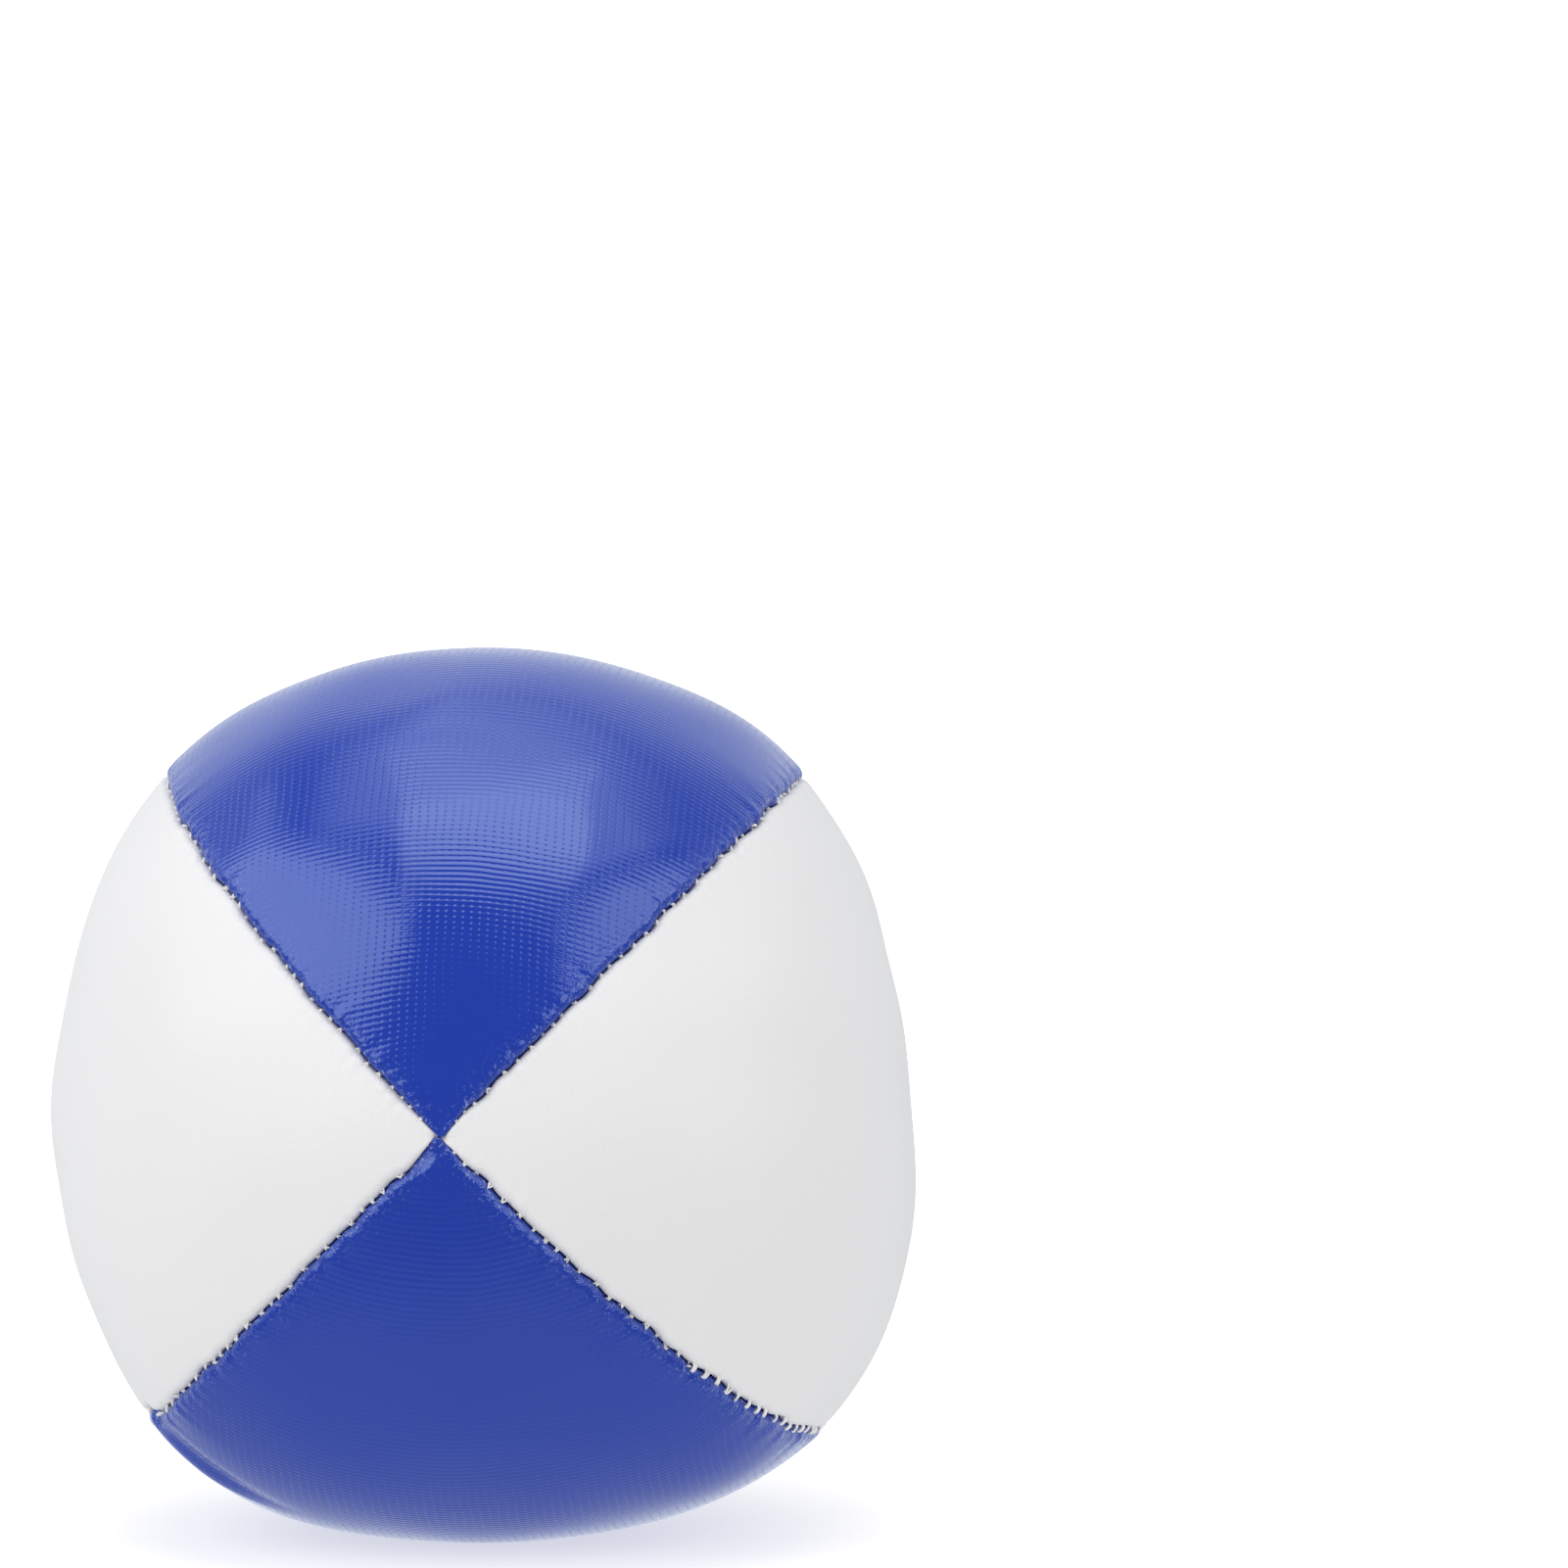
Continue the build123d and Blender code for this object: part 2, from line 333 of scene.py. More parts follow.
def panel_side(name, seam, sign):
    """Columns of one half of a panel, from its middle out to a seam and round its flap.

    Each is an azimuth and a depth for every station, the distance from the seam, the
    extra width of flat cloth beyond the fold, and 1 on the cloth's inner side. sign is 1
    for the seam at the panel's low azimuth and -1 for the other."""
    colour, middle = PANELS[name][:2]
    polar = np.linspace(TIP_ANGLE, np.pi - TIP_ANGLE, STATIONS)
    along = along_seam(polar)
    ring = HALF_DEPTH * np.sin(polar)
    zero = np.zeros_like(along)
    scale = seam_scale(ring)
    fold, cloth = FOLD_RADIUS * scale, CLOTH * scale
    flap = np.minimum(ALLOWANCE, 0.5 * ring + 0.15)     # it narrows towards the tips
    wander = seam_wander(seam, along, ring)
    pinch = 0.5 + 0.5 * np.cos(2 * np.pi * stitch_phase(seam, along))
    fine = noise(along, FINE_WRINKLES[name])
    long = noise(along, LONG_WRINKLES[name])
    facet = zero
    tuck = zero
    if seam == "lower_left":
        tuck = np.exp(-((along - TUCK_ALONG) / TUCK_LENGTH) ** 2)
        if colour == "blue":
            facet = facet_width(along)
            fold = fold * (1 - FACET_SHARPNESS * facet / FACET_WIDTH)

    def relief(gap):
        """Depth added near the seam, at a distance from it."""
        depth = PINCH[colour] * scale * pinch * np.exp(-gap / PINCH_REACH)
        depth = depth + PUCKER[colour] * scale * fine * np.exp(-gap / FINE_REACH)
        depth = depth + LONG_SHARE * PUCKER[colour] * scale * long * np.exp(-gap / LONG_REACH)
        depth = depth + TUCK_DEPTH * tuck * np.exp(-gap / TUCK_REACH)
        if colour == "blue":
            depth = depth - BLUE_PROUD * scale * np.exp(-gap / PROUD_REACH)
        if colour == "blue" and seam == "lower_left":
            line = (along - TUCK_ALONG - CREASE_SLANT * gap) / CREASE_WIDTH
            crease = np.exp(-line**2) - TROUGH_SHARE * np.exp(-((line + TROUGH_SHIFT) ** 2))
            depth = depth - CREASE_HEIGHT * crease * (1 - smooth_step(gap, *CREASE_END))
        return depth + np.maximum(0, facet - gap) * FACET_SLOPE

    def azimuth_at(gap, depth):
        reach = np.maximum(ring - depth * np.sin(polar), 1e-3)
        offset = np.clip((gap + SEAM_GAP * scale + sign * wander) / reach, -0.7, 0.7)
        return math.radians(middle - 45 * sign) + sign * np.arcsin(offset)

    columns = []
    start = azimuth_at(fold, zero)
    for share in np.linspace(1, 0, HALF_COLUMNS) ** CROWDING:
        azimuth = start + (math.radians(middle) - start) * share
        gap = fold + np.abs(azimuth - start) * ring
        columns.append((azimuth, relief(gap), gap, zero, 0))
    for angle in np.linspace(0, np.pi / 2, FOLD_STEPS + 1)[1:]:
        gap = fold * (1 - math.sin(angle))
        depth = fold * (1 - math.cos(angle)) + relief(gap)
        columns.append((azimuth_at(gap, depth), depth, gap, fold * angle - (fold - gap), 0))
    edge_depth = fold + relief(zero)
    for share in (0.25, 0.5, 0.75, 1.0):
        depth = edge_depth + (flap - edge_depth) * share
        columns.append((azimuth_at(zero, depth), depth, zero, depth, 0))
    depth = flap + 0.1 * scale
    columns.append((azimuth_at(0.5 * cloth, depth), depth, zero, flap, 1))
    inner_depth = 1.5 * cloth
    for share in (1.0, 0.66, 0.33, 0.0):
        depth = inner_depth + (flap - inner_depth) * share
        columns.append((azimuth_at(cloth, depth), depth, zero, depth, 1))
    return columns


def panel_pattern(way, middle, beyond, sign):
    """Place on the flat cloth, in millimetres: across the panel and along it."""
    turn = np.arctan2(way[..., 2], way[..., 0]) - math.radians(middle)
    turn = (turn + np.pi) % (2 * np.pi) - np.pi
    ring = np.hypot(way[..., 0], way[..., 2])
    row = np.arctan2(ring * np.maximum(np.cos(turn), 0.05) ** ROW_BEND, -way[..., 1])
    across = np.arcsin(np.clip(ring * np.sin(turn), -1, 1))
    return np.stack([HALF_DEPTH * across - sign * beyond, HALF_DEPTH * row], axis=-1)


def make_panel(name, material):
    colour, middle, seam_low, seam_high = PANELS[name]
    polar = np.linspace(TIP_ANGLE, np.pi - TIP_ANGLE, STATIONS)
    low = panel_side(name, seam_low, 1)
    high = panel_side(name, seam_high, -1)
    ring = HALF_DEPTH * np.sin(polar)
    inner = []
    for share in np.linspace(0, 1, INNER_COLUMNS + 2)[1:-1]:
        azimuth = high[-1][0] + (low[-1][0] - high[-1][0]) * share
        inner.append((azimuth, CLOTH * seam_scale(ring), 0 * polar, 0 * polar, 1))
    ordered = [(column, 1) for column in reversed(low)]
    ordered += [(column, -1) for column in high[1:]] + [(column, 1) for column in inner]
    points, patterns, edges, insides = [], [], [], []
    sink = 0 if colour == "blue" else TIP_SINK * np.exp(-((ring / TIP_SINK_REACH) ** 2))
    for (azimuth, depth, gap, beyond, inside), sign in ordered:
        way = direction(polar, azimuth)
        points.append((ball_radius(way) - depth - sink)[:, None] * way + CENTRE)
        patterns.append(panel_pattern(way, middle, beyond, sign))
        edges.append(gap)
        insides.append(np.full(STATIONS, float(inside)))
    points = rest_on_floor(np.stack(points, axis=1))
    made = make_object(name + "_cloth", points.reshape(-1, 3),
                       ring_faces(STATIONS, len(ordered)), material)
    add_corner_map(made, "pattern", np.stack(patterns, axis=1).reshape(-1, 2))
    add_point_value(made, "edge_gap", np.stack(edges, axis=1))
    add_point_value(made, "inside", np.stack(insides, axis=1))
    return made


# ---- Threads -------------------------------------------------------------------------

def seam_points(seam, along, offset, depth):
    """Points beside a seam: offset from it towards greater azimuth, and depth below it."""
    polar = along / HALF_DEPTH
    ring = HALF_DEPTH * np.sin(polar)
    wander = seam_wander(seam, along, ring)
    if seam == "lower_left":
        depth = depth + FACET_SLOPE * facet_width(along)
    azimuth = math.radians(SEAMS[seam]) + (offset + wander) / np.maximum(ring, LEAST_RING)
    way = direction(polar, azimuth)
    return rest_on_floor((ball_radius(way) - depth)[:, None] * way + CENTRE)


def tube(path, radius):
    """Points and faces of a closed tube along a path."""
    tangent = np.gradient(path, axis=0)
    tangent /= np.linalg.norm(tangent, axis=1)[:, None]
    outward = path - CENTRE
    first = np.cross(tangent, outward)
    first /= np.linalg.norm(first, axis=1)[:, None]
    second = np.cross(first, tangent)
    angle = np.linspace(0, 2 * np.pi, THREAD_SIDES, endpoint=False)
    circle = first[:, None] * np.cos(angle)[None, :, None]
    circle = circle + second[:, None] * np.sin(angle)[None, :, None]
    return (path[:, None] + radius * circle).reshape(-1, 3), ring_faces(len(path), THREAD_SIDES)


def join_tubes(paths, radius):
    """Points and faces of several tubes in one mesh."""
    points, groups, total = [], [[], [], []], 0
    for path in paths:
        more, faces = tube(path, radius)
        points.append(more)
        for group, face in zip(groups, faces):
            group.append(face + total)
        total += len(more)
    return np.concatenate(points), [np.concatenate(group) for group in groups]


def machine_path(seam, start, end, side, seed):
    """One thread of a lockstitch: behind the cloth, and up into the seam at each stitch."""
    dense = np.linspace(start, end, 4000)
    phase = stitch_phase(seam, dense)
    first, last = math.ceil(phase[0]), math.floor(phase[-1])
    steps = np.arange(first, last + 1e-6, 1 / BEND_POINTS)
    along = np.interp(steps, phase, dense)
    random = np.random.default_rng(seed)
    heights = random.uniform(*STITCH_DEPTHS[seam], last - first + 2)
    strays = random.uniform(-MACHINE_STRAY, MACHINE_STRAY, last - first + 2)
    stitch = np.clip(np.round(steps).astype(int) - first, 0, len(heights) - 1)
    height = heights[stitch]
    near = (0.5 + 0.5 * np.cos(2 * np.pi * steps)) ** MACHINE_BEND      # 1 at a stitch
    room = seam_scale(HALF_DEPTH * np.sin(along / HALF_DEPTH))
    offset = (side * (MACHINE_SIDE - MACHINE_REACH * near) + strays[stitch] * near) * room
    depth = (MACHINE_DEPTH - (MACHINE_DEPTH - height) * near) * room
    return seam_points(seam, along, offset, depth)


def ladder_path(seam, start, end, seed):
    """A strand of the closing thread: over the seam, along inside one fold, and back over."""
    random = np.random.default_rng(seed)
    count = round((end - start) / LADDER)
    knots = []
    for step in range(count + 1):
        here = start + (end - start) * step / count + random.uniform(-0.12, 0.12)
        side = 1 if step % 2 == 0 else -1
        slant = random.uniform(-0.25, 0.35)
        lift = random.uniform(-0.06, 0.08)
        # Each has its place along the seam, its offset from it and its depth
        knots += [
            (here - 0.35 * LADDER, side * LADDER_SIDE, LADDER_DEPTH),
            (here - 0.08, side * 0.36, 0.30),
            (here, side * 0.22, lift + 0.02),
            (here + slant * 0.5, -side * 0.15, lift + 0.04),
            (here + slant, -side * 0.32, 0.30),
            (here + 0.3 * LADDER, -side * LADDER_SIDE, LADDER_DEPTH),
        ]
    knots = np.array(knots)
    steps = np.arange(len(knots))
    fine = np.linspace(0, len(knots) - 1, len(knots) * 5)
    along, offset, depth = (np.interp(fine, steps, knots[:, i]) for i in range(3))
    smooth = np.array([0.25, 0.5, 0.25])
    for _ in range(2):
        along, offset, depth = (
            np.concatenate([v[:1], np.convolve(v, smooth, "valid"), v[-1:]])
            for v in (along, offset, depth)
        )
    return seam_points(seam, along, offset, depth)


# ---- Millet --------------------------------------------------------------------------

def make_millet(material):
    """The fill: a body covered with grains, clear of the cloth."""
    random = np.random.default_rng(8)
    number = np.arange(GRAINS)
    turn = number * math.pi * (3 - math.sqrt(5))
    y = 1 - 2 * (number + 0.5) / GRAINS
    ring = np.sqrt(1 - y**2)
    way = np.stack([ring * np.cos(turn), y, ring * np.sin(turn)], axis=-1)
    way += random.normal(scale=0.006, size=way.shape)
    way /= np.linalg.norm(way, axis=1)[:, None]
    azimuth = np.arctan2(way[:, 2], way[:, 0])
    off_seam = np.radians(np.abs((np.degrees(azimuth) % 90) - 45))
    off_seam = off_seam * HALF_WIDTH * np.hypot(way[:, 0], way[:, 2])
    depth = GRAIN_DEPTH + SEAM_ROOM * np.exp(-(off_seam / SEAM_ROOM_REACH) ** 2)
    depth = depth + random.uniform(0, GRAIN_SCATTER, GRAINS)
    places = (ball_radius(way) - depth)[:, None] * way + CENTRE
    places[:, 2] = np.maximum(places[:, 2], CLOTH + 1.2)

    # Each grain is an octahedron divided once and rounded
    corner = np.array([[1, 0, 0], [-1, 0, 0], [0, 1, 0], [0, -1, 0], [0, 0, 1], [0, 0, -1]],
                      float)
    octahedron = np.array([[0, 2, 4], [2, 1, 4], [1, 3, 4], [3, 0, 4],
                           [2, 0, 5], [1, 2, 5], [3, 1, 5], [0, 3, 5]])
    edges = {}
    points = list(corner)
    faces = []
    for a, b, c in octahedron:
        middles = []
        for pair in ((a, b), (b, c), (c, a)):
            key = tuple(sorted(pair))
            if key not in edges:
                edges[key] = len(points)
                mid = corner[pair[0]] + corner[pair[1]]
                points.append(mid / np.linalg.norm(mid))
            middles.append(edges[key])
        d, e, f = middles
        faces += [(a, d, f), (d, b, e), (f, e, c), (d, e, f)]
    grain = np.array(points) * np.array(GRAIN)
    faces = np.array(faces)
    spins = random.normal(size=(GRAINS, 3, 3))
    rotations = np.linalg.qr(spins)[0]
    rotations *= np.sign(np.linalg.det(rotations))[:, None, None]
    sizes = random.uniform(*GRAIN_SIZES, GRAINS)
    cloud = np.einsum("nij,kj->nki", rotations, grain) * sizes[:, None, None] + places[:, None]
    grain_faces = (faces[None] + (number * len(grain))[:, None, None]).reshape(-1, 3)

    polar = np.linspace(0.02, np.pi - 0.02, CORE_ROWS)
    azimuths = np.linspace(0, 2 * np.pi, CORE_COLUMNS, endpoint=False)
    way = direction(polar[:, None], azimuths[None, :])
    body = (ball_radius(way) - CORE_DEPTH)[..., None] * way + CENTRE
    total = cloud.shape[0] * cloud.shape[1]
    body_faces = [face + total for face in ring_faces(CORE_ROWS, CORE_COLUMNS)]
    shade = np.repeat(random.uniform(0, 1, GRAINS), len(grain))
    core_shade = np.full(CORE_ROWS * CORE_COLUMNS, 0.2)
    points = np.concatenate([cloud.reshape(-1, 3), body.reshape(-1, 3)])
    made = make_object("millet_grains", points, [grain_faces] + body_faces, material)
    add_point_value(made, "grain_shade", np.concatenate([shade, core_shade]))
    return made


# ---- Materials -----------------------------------------------------------------------

# Heights in the leathercloth's bump, as shares of its weave height
RIB_HEIGHT = 0.52
DOT_HEIGHT = -0.80
UNEVEN_HEIGHT = 0.35
CREASES_HEIGHT = 11.0       # of the fine creases at a seam
INSIDE_COLOUR = (0.62, 0.61, 0.57)      # of the cloth's woven back
INSIDE_ROUGHNESS = 0.9


def new_material(name, **sockets):
    """A material with a Principled shader, its node tree and the shader."""
    material = bpy.data.materials.new(name)
    material.use_nodes = True
    tree = material.node_tree
    shader = next(node for node in tree.nodes if node.type == "BSDF_PRINCIPLED")
    for socket, value in sockets.items():
        shader.inputs[socket.replace("_", " ")].default_value = value
    return material, tree, shader


def math_node(tree, operation, first, second=None, third=None, clamp=False):
    node = tree.nodes.new("ShaderNodeMath")
    node.operation = operation
    node.use_clamp = clamp
    for socket, value in zip(node.inputs, (first, second, third)):
        if value is None:
            continue
        if isinstance(value, (int, float)):
            socket.default_value = value
        else:
            tree.links.new(value, socket)
    return node.outputs[0]


def mix_colour(tree, share, first, second, blend="MIX"):
    node = tree.nodes.new("ShaderNodeMix")
    node.data_type = "RGBA"
    node.blend_type = blend
    for index, value in ((0, share), (6, first), (7, second)):
        socket = node.inputs[index]
        if isinstance(value, (int, float)):
            socket.default_value = value
        elif isinstance(value, tuple):
            socket.default_value = (*value, 1)
        else:
            tree.links.new(value, socket)
    return node.outputs[2]


def point_value(tree, name):
    node = tree.nodes.new("ShaderNodeAttribute")
    node.attribute_name = name
    return node.outputs["Fac"]


def noise_texture(tree, scale, detail=2.0, roughness=0.5):
    node = tree.nodes.new("ShaderNodeTexNoise")
    place = tree.nodes.new("ShaderNodeTexCoord")
    tree.links.new(place.outputs["Object"], node.inputs["Vector"])
    node.inputs["Scale"].default_value = scale
    node.inputs["Detail"].default_value = detail
    node.inputs["Roughness"].default_value = roughness
    return node.outputs["Fac"]


def wave(tree, distance, pitch):
    """A cosine of a distance in millimetres, from 0 to 1."""
    angle = math_node(tree, "MULTIPLY", distance, 2 * math.pi / pitch)
    return math_node(tree, "MULTIPLY_ADD", math_node(tree, "COSINE", angle), 0.5, 0.5)


def leathercloth(name, base, deep, glint_colour, roughness, weave_height, ior, tint, dot_shade):
    """Coated cloth with a fine plain weave showing through as ribs and pin dots.

    Its colour goes from base to deep in patches of random tone, and is darker by dot_shade in
    the dimpled dots, a painted shade in the dimples. At the seams it goes to the paler speck
    colour in specks, painted glints that stand for highlights on the puckers, where the cloth
    is also rougher. weave_height is in millimetres, and tint colours its gloss."""
    material, tree, shader = new_material(name, IOR=ior, Specular_Tint=(*tint, 1))
    pattern = tree.nodes.new("ShaderNodeUVMap")
    pattern.uv_map = "pattern"
    split = tree.nodes.new("ShaderNodeSeparateXYZ")
    tree.links.new(pattern.outputs[0], split.inputs[0])
    # The weave's threads wander by up to a sixth of a millimetre
    drift = math_node(tree, "MULTIPLY_ADD", noise_texture(tree, 260, 1.0), 0.34, -0.17)
    across = math_node(tree, "ADD", split.outputs[0], drift)
    down = math_node(tree, "ADD", split.outputs[1], drift)
    rows = wave(tree, down, ROW_PITCH)
    columns = wave(tree, across, COLUMN_PITCH)
    dots = math_node(tree, "MULTIPLY", math_node(tree, "POWER", columns, 6.0),
                     math_node(tree, "POWER", math_node(tree, "SUBTRACT", 1.0, rows), 3.0))
    # 1 at a seam, and near 0 from 2 mm off it
    edge = math_node(tree, "MULTIPLY", point_value(tree, "edge_gap"), -1.8)
    edge = math_node(tree, "EXPONENT", edge)
    creases = math_node(tree, "MULTIPLY", noise_texture(tree, 3800, 2.0, 0.6), edge)
    height = math_node(tree, "MULTIPLY", noise_texture(tree, 1500, 2.0), UNEVEN_HEIGHT)
    height = math_node(tree, "MULTIPLY_ADD", rows, RIB_HEIGHT, height)
    height = math_node(tree, "MULTIPLY_ADD", dots, DOT_HEIGHT, height)
    height = math_node(tree, "MULTIPLY_ADD", creases, CREASES_HEIGHT, height)
    bump = tree.nodes.new("ShaderNodeBump")
    bump.inputs["Strength"].default_value = 1.0
    bump.inputs["Distance"].default_value = weave_height * MM
    tree.links.new(height, bump.inputs["Height"])
    tree.links.new(bump.outputs[0], shader.inputs["Normal"])

    patches = math_node(tree, "MULTIPLY", noise_texture(tree, 90, 3.0), 0.30)
    # Painted shade: the dimpled dots are darker by dot_shade, on top of patches of random tone
    tone_and_dot_shade = math_node(tree, "MULTIPLY_ADD", dots, dot_shade, patches, clamp=True)
    colour = mix_colour(tree, tone_and_dot_shade, base, deep)
    # Only the highest of the noise shows, as separate specks
    specks = noise_texture(tree, 3600, 2.0, 0.7)
    specks = math_node(tree, "MULTIPLY_ADD", specks, 9.0, -5.3, clamp=True)
    # Painted glints: pale specks beside the seams that stand for highlights on the puckers. The
    # same specks also make the cloth rougher there.
    scuffs_and_glints = math_node(tree, "MULTIPLY", edge, 1.3)
    scuffs_and_glints = math_node(tree, "MULTIPLY", scuffs_and_glints, specks, clamp=True)
    colour = mix_colour(tree, scuffs_and_glints, colour, glint_colour)
    colour = mix_colour(tree, point_value(tree, "inside"), colour, INSIDE_COLOUR)
    tree.links.new(colour, shader.inputs["Base Color"])
    rough = noise_texture(tree, 160, 3.0)
    rough = math_node(tree, "MULTIPLY_ADD", rough, 0.12, roughness - 0.06)
    rough = math_node(tree, "MULTIPLY_ADD", scuffs_and_glints, 0.15, rough)
    inside = math_node(tree, "MULTIPLY", point_value(tree, "inside"), INSIDE_ROUGHNESS)
    tree.links.new(math_node(tree, "MAXIMUM", rough, inside), shader.inputs["Roughness"])
    return material


def thread_material():
    material, tree, shader = new_material("sewing_thread", Roughness=0.62)
    tint = mix_colour(tree, noise_texture(tree, 2500, 2.0),
                      (0.86, 0.86, 0.85), (0.97, 0.97, 0.96))
    tree.links.new(tint, shader.inputs["Base Color"])
    bump = tree.nodes.new("ShaderNodeBump")
    bump.inputs["Distance"].default_value = 0.03 * MM
    tree.links.new(noise_texture(tree, 9000, 2.0), bump.inputs["Height"])
    tree.links.new(bump.outputs[0], shader.inputs["Normal"])
    return material


def millet_material():
    material, tree, shader = new_material("millet", Roughness=0.45)
    tint = mix_colour(tree, point_value(tree, "grain_shade"),
                      (0.50, 0.30, 0.08), (0.80, 0.60, 0.26))
    tint = mix_colour(tree, math_node(tree, "MULTIPLY", noise_texture(tree, 1800, 3.0), 0.4),
                      tint, (0.42, 0.22, 0.07))
    tree.links.new(tint, shader.inputs["Base Color"])
    bump = tree.nodes.new("ShaderNodeBump")
    bump.inputs["Distance"].default_value = 0.05 * MM
    tree.links.new(noise_texture(tree, 4000, 3.0), bump.inputs["Height"])
    tree.links.new(bump.outputs[0], shader.inputs["Normal"])
    return material


BLUE = leathercloth(
    "blue_leathercloth", base=(0.011, 0.042, 0.405), deep=(0.007, 0.027, 0.30),
    glint_colour=(0.30, 0.38, 0.72), roughness=0.12, weave_height=0.016, ior=1.85,
    tint=(0.68, 0.84, 1.0), dot_shade=0.05)
WHITE = leathercloth(
    "white_leathercloth", base=(0.84, 0.84, 0.85), deep=(0.77, 0.77, 0.785),
    glint_colour=(0.90, 0.90, 0.90), roughness=0.50, weave_height=0.010, ior=1.40,
    tint=(1.0, 1.0, 1.0), dot_shade=0.12)
THREAD = thread_material()


# ---- The object ----------------------------------------------------------------------

def attach(piece, slot, *nodes):
    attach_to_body(piece, BODY)
    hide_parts(*nodes)


for panel_name, (colour_name, *_) in PANELS.items():
    cloth_piece = make_panel(panel_name, BLUE if colour_name == "blue" else WHITE)
    attach(cloth_piece, colour_name + "_leathercloth", panel_name)

whole = (along_seam(math.radians(1.5)), along_seam(math.radians(178.5)))
front_run = (whole[0], along_seam(GAP_FRONT))
back_run = (along_seam(GAP_BACK), whole[1])
# Each run of thread has a seed, from 59 to 91, and the two half seams share theirs
for kind, thread_side in (("needle", 1), ("bobbin", -1)):
    for seam_name in ("upper_right", "lower_left"):
        route = machine_path(seam_name, *whole, thread_side, 60 + thread_side)
        points_and_faces = join_tubes([route], THREAD_RADIUS)
        piece = make_object(f"{kind}_thread_{seam_name}", *points_and_faces, THREAD)
        attach(piece, "white_thread", f"thread_{kind}_{seam_name}")
    routes = [machine_path("upper_left", *whole, thread_side, 70 + thread_side),
              machine_path("lower_right", *front_run, -thread_side, 80 + thread_side),
              machine_path("lower_right", *back_run, -thread_side, 90 + thread_side)]
    piece = make_object(f"{kind}_thread_ring", *join_tubes(routes, THREAD_RADIUS), THREAD)
    attach(piece, "white_thread", f"thread_{kind}_ring")

# The hand stitches start 1 mm before the gap and end 1 mm after it
gap_ends = (along_seam(GAP_FRONT) - 1, along_seam(GAP_BACK) + 1)
ladder = [ladder_path("lower_right", gap_ends[0] + shift, gap_ends[1] + shift, 95 + strand)
          for strand, shift in enumerate((0, STRAND_SHIFT))]
piece = make_object("closing_thread", *join_tubes(ladder, HAND_THREAD_RADIUS), THREAD)
attach(piece, "white_thread", "thread_closing")

millet = make_millet(millet_material())
attach(millet, "millet", "millet_fill")


# ---- Camera --------------------------------------------------------------------------

# The camera looks from a little to the right and a little above, and the ball stands
# left of and below the middle of the picture.
VIEW_AZIMUTH = 6
VIEW_ELEVATION = 6
CAMERA_DISTANCE = 1.0
PICTURE_WIDTH = 0.1094      # of the picture at the ball, in metres
AIM_RIGHT = 0.0208          # from the ball's centre to the middle of the picture
AIM_UP = 0.0213

ball_centre = Vector(CENTRE * MM)
turn, rise = math.radians(VIEW_AZIMUTH), math.radians(VIEW_ELEVATION)
back = Vector((math.sin(turn), -math.cos(turn), 0)) * math.cos(rise)
back.z = math.sin(rise)
right = Vector((math.cos(turn), math.sin(turn), 0))
up = back.cross(right)

camera_data = bpy.data.cameras.new("camera")
camera = bpy.data.objects.new("camera", camera_data)
bpy.context.scene.collection.objects.link(camera)
bpy.context.scene.camera = camera
camera.location = ball_centre + back * CAMERA_DISTANCE
aim_point = ball_centre + right * AIM_RIGHT + up * AIM_UP
camera.rotation_euler = (camera.location - aim_point).to_track_quat("Z", "Y").to_euler()
camera_data.lens = camera_data.sensor_width * CAMERA_DISTANCE / PICTURE_WIDTH


# ---- Light and floor -----------------------------------------------------------------

def softbox(name, azimuth, elevation, distance, wide, high, glow):
    """A rectangular area light aimed at the ball. Its angles are from the line to the
    camera, wide and high are the angles it fills as seen from the ball, and its glow is
    its brightness, where a lit white surface in the picture is about 1."""
    turned, raised = math.radians(azimuth), math.radians(elevation)
    way = (right * math.sin(turned) + back * math.cos(turned)) * math.cos(raised)
    way = way + up * math.sin(raised)
    light = bpy.data.lights.new(name, "AREA")
    light.shape = "RECTANGLE"
    light.size = 2 * distance * math.tan(math.radians(wide) / 2)
    light.size_y = 2 * distance * math.tan(math.radians(high) / 2)
    light.energy = glow * math.pi * light.size * light.size_y
    made = bpy.data.objects.new(name, light)
    made.location = ball_centre + way * distance
    made.rotation_euler = way.to_track_quat("Z", "Y").to_euler()
    made.visible_camera = False
    bpy.context.scene.collection.objects.link(made)


softbox("overhead_softbox", azimuth=-1, elevation=73, distance=0.6, wide=35, high=29, glow=1.3)
softbox("overhead_diffuser", azimuth=24, elevation=80, distance=0.58,
        wide=42, high=56, glow=0.93)
softbox("left_softbox", azimuth=-61, elevation=31, distance=0.6, wide=58, high=50, glow=1.72)
softbox("right_softbox", azimuth=50, elevation=27, distance=0.6, wide=50, high=40, glow=1.50)

# The floor takes the ball's shadow and is otherwise as bright as the white backdrop. Its
# part in the ball's own light is the lower half of the world, below.
FLOOR_SPAN = 30.0           # from its middle to an edge, in metres
corners = [(x * FLOOR_SPAN, y * FLOOR_SPAN, 0) for x, y in ((-1, -1), (1, -1), (1, 1), (-1, 1))]
floor_mesh = bpy.data.meshes.new("floor")
floor_mesh.from_pydata(corners, [], [(0, 1, 2, 3)])
floor = bpy.data.objects.new("floor", floor_mesh)
bpy.context.scene.collection.objects.link(floor)
floor_paint, tree, shader = new_material("floor_paint", Base_Color=(0.45, 0.45, 0.45, 1),
                                         Roughness=0.9, Emission_Color=(1, 1, 1, 1))
place = tree.nodes.new("ShaderNodeTexCoord")
reach = tree.nodes.new("ShaderNodeVectorMath")
reach.operation = "LENGTH"
tree.links.new(place.outputs["Object"], reach.inputs[0])
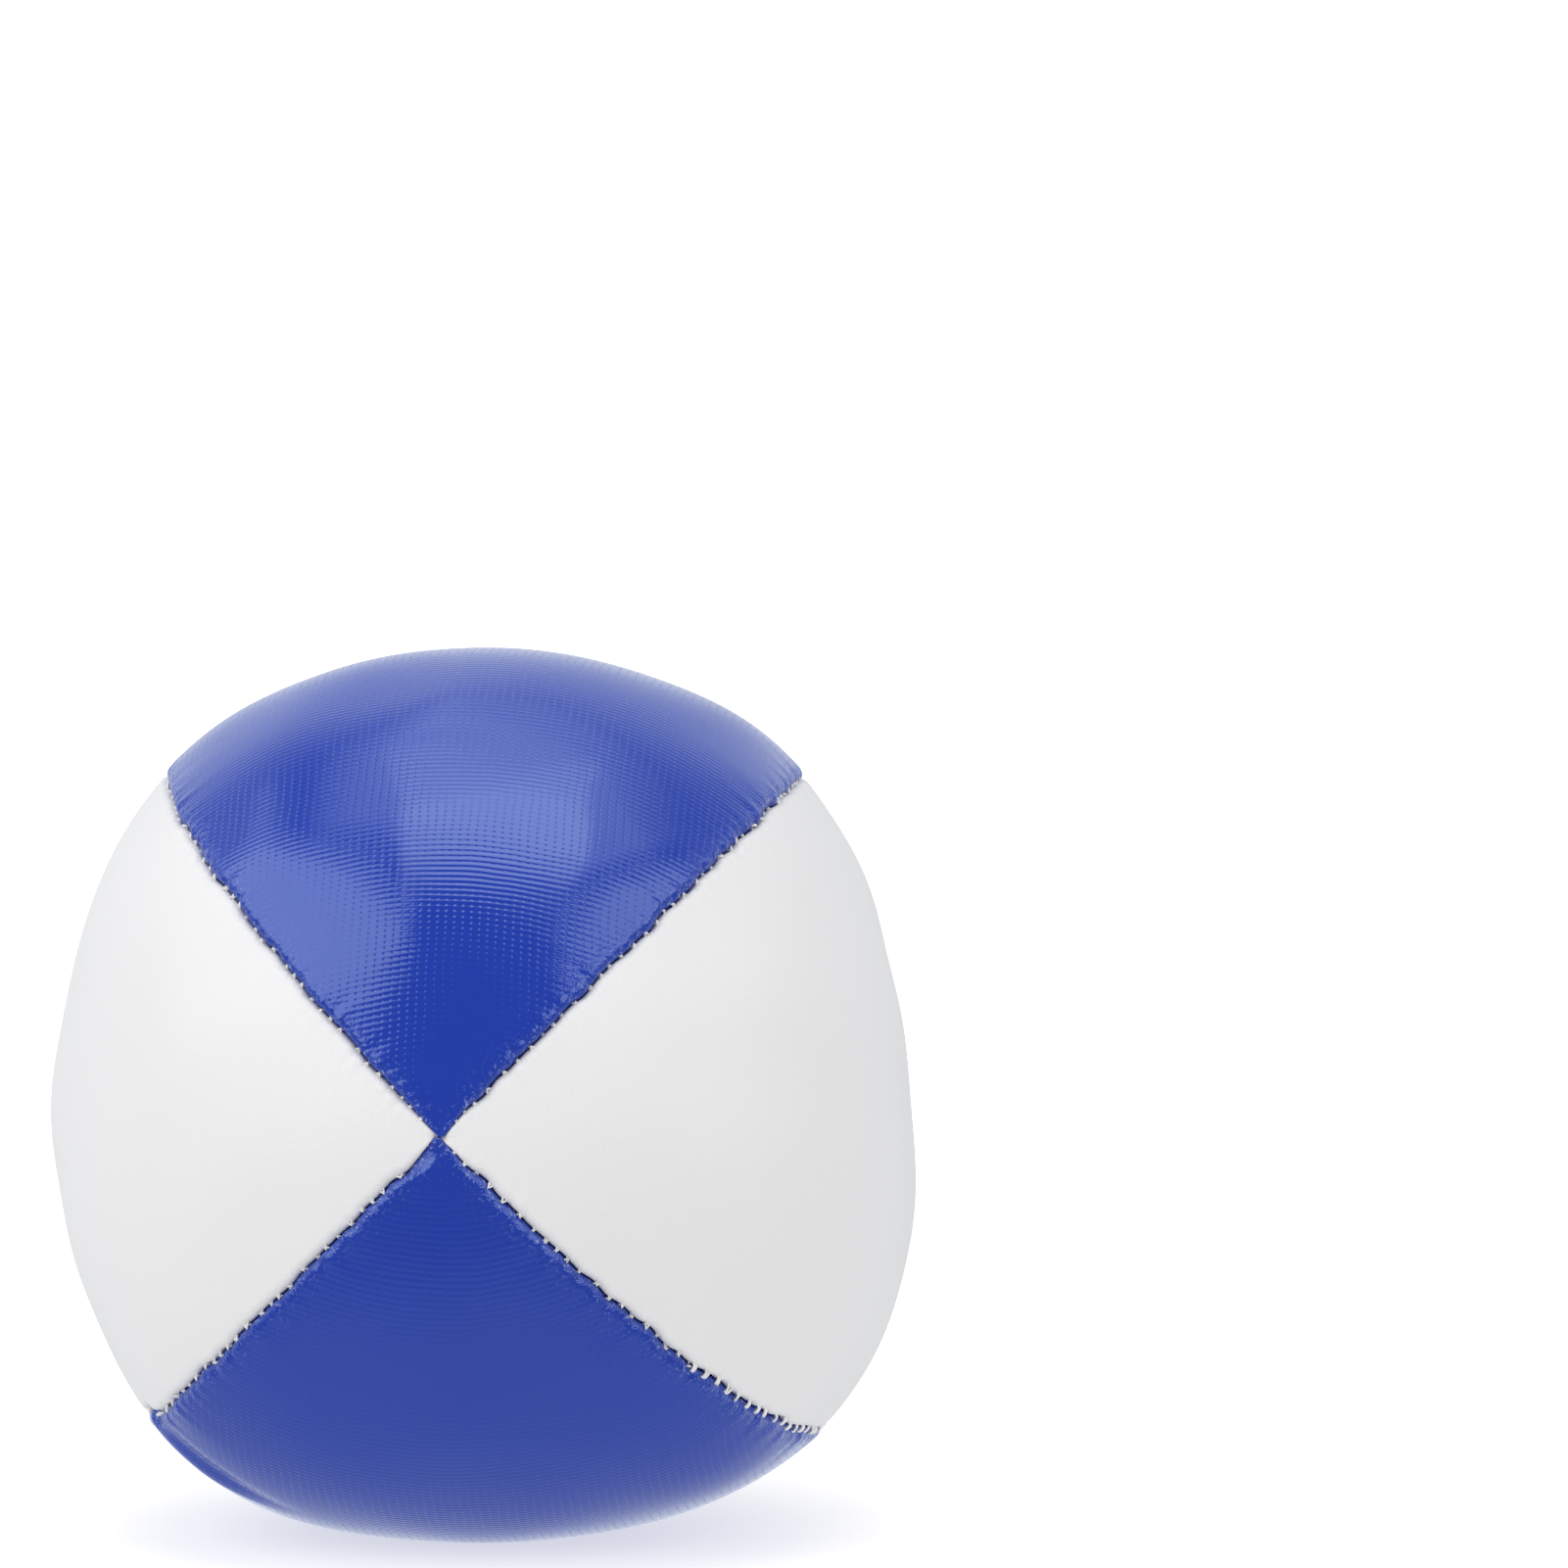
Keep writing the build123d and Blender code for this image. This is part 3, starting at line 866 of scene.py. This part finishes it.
# Its own glow is painted light that grows with the distance from the ball, so the floor is
# painted darker near the ball and the shadow ends softly
glow = math_node(tree, "MULTIPLY", reach.outputs["Value"], 4.0)
glow = math_node(tree, "SMOOTH_MIN", glow, 1.0, 0.3)
tree.links.new(math_node(tree, "ADD", glow, 0.60), shader.inputs["Emission Strength"])
floor.data.materials.append(floor_paint)
floor.visible_diffuse = False
floor.visible_glossy = False
floor.visible_shadow = False

world = bpy.data.worlds.new("studio")
bpy.context.scene.world = world
world.use_nodes = True
world.cycles.sampling_method = "NONE"
studio = world.node_tree
background = studio.nodes["Background"]
where = studio.nodes.new("ShaderNodeTexCoord")
axes = studio.nodes.new("ShaderNodeSeparateXYZ")
studio.links.new(where.outputs["Generated"], axes.inputs[0])
seen = studio.nodes.new("ShaderNodeLightPath")
cool = mix_colour(studio, seen.outputs["Is Glossy Ray"], (1.0, 1.0, 1.0), (0.92, 0.97, 1.02))
studio.links.new(cool, background.inputs["Color"])


def fade(value, start, end, low, high):
    """A smooth change of brightness between two values of a direction's component."""
    node = studio.nodes.new("ShaderNodeMapRange")
    node.interpolation_type = "SMOOTHSTEP"
    limits = {"From Min": start, "From Max": end, "To Min": low, "To Max": high}
    for socket, number in limits.items():
        node.inputs[socket].default_value = number
    studio.links.new(value, node.inputs["Value"])
    return node.outputs[0]


def choose(share, first, second):
    """The first brightness where share is 0, and the second where it is 1."""
    node = studio.nodes.new("ShaderNodeMix")
    for index, value in ((0, share), (2, first), (3, second)):
        if isinstance(value, float):
            node.inputs[index].default_value = value
        else:
            studio.links.new(value, node.inputs[index])
    return node.outputs[0]


# What the ball reflects: the room, dark behind the camera and bright behind the ball, and
# below it the floor
room = fade(axes.outputs["Y"], -0.1, 0.85, 0.15, 1.05)
reflected = choose(fade(axes.outputs["Z"], -0.85, -0.20, 1.0, 0.0), room, 0.47)
# What lights it softly: the floor from below, the room from above, and less from behind
bounced = fade(axes.outputs["Z"], -0.25, 0.25, 0.98, 0.30)
bounced = math_node(studio, "MULTIPLY", bounced, fade(axes.outputs["Y"], 0.0, 0.9, 1.0, 0.7))
ball_light = choose(seen.outputs["Is Glossy Ray"], bounced, reflected)
strength = choose(seen.outputs["Is Camera Ray"], ball_light, 1.0)
studio.links.new(strength, background.inputs["Strength"])
bpy.context.scene.view_settings.view_transform = "Standard"
